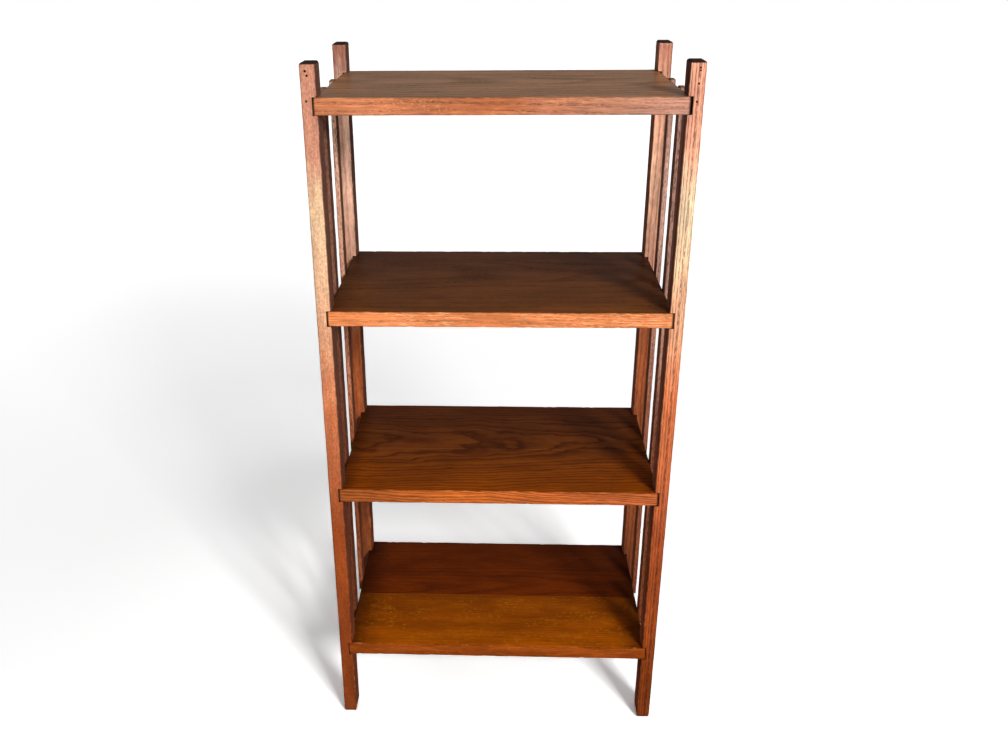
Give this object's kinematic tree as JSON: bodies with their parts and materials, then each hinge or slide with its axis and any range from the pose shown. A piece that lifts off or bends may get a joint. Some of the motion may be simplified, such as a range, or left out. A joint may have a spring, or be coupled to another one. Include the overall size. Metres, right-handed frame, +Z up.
{
  "type": "book stand",
  "caption": "Open oak book stand: upright posts carry deep plain shelves in cut housings, with thin slats up each side.",
  "frame": {"origin": "on the floor, under the middle of the stand's footprint", "axes": "+Z up, +X to the right as seen from the front, +Y to the back; the front faces -Y"},
  "size_m": [0.533, 0.313, 1.0935],
  "materials": {
    "post_oak": "worn satin shellac",
    "shelf_oak": "worn satin shellac",
    "slat_oak": "worn satin shellac",
    "screw_steel": "dull, aged",
    "brad_steel": "dull, aged"
  },
  "bodies": {
    "root": {"front_left_post": "post_oak", "front_right_post": "post_oak", "back_left_post": "post_oak", "back_right_post": "post_oak", "top_shelf_front_board": "shelf_oak", "top_shelf_back_board": "shelf_oak", "upper_shelf_front_board": "shelf_oak", "upper_shelf_back_board": "shelf_oak", "lower_shelf_front_board": "shelf_oak", "lower_shelf_back_board": "shelf_oak", "bottom_shelf_front_board": "shelf_oak", "bottom_shelf_back_board": "shelf_oak", "left_front_slat": "slat_oak", "left_back_slat": "slat_oak", "right_front_slat": "slat_oak", "right_back_slat": "slat_oak", "front_left_post_screws": "screw_steel", "front_right_post_screws": "screw_steel", "back_left_post_screws": "screw_steel", "back_right_post_screws": "screw_steel", "left_front_slat_brads": "brad_steel", "left_back_slat_brads": "brad_steel", "right_front_slat_brads": "brad_steel", "right_back_slat_brads": "brad_steel"}
  },
  "joints": []
}
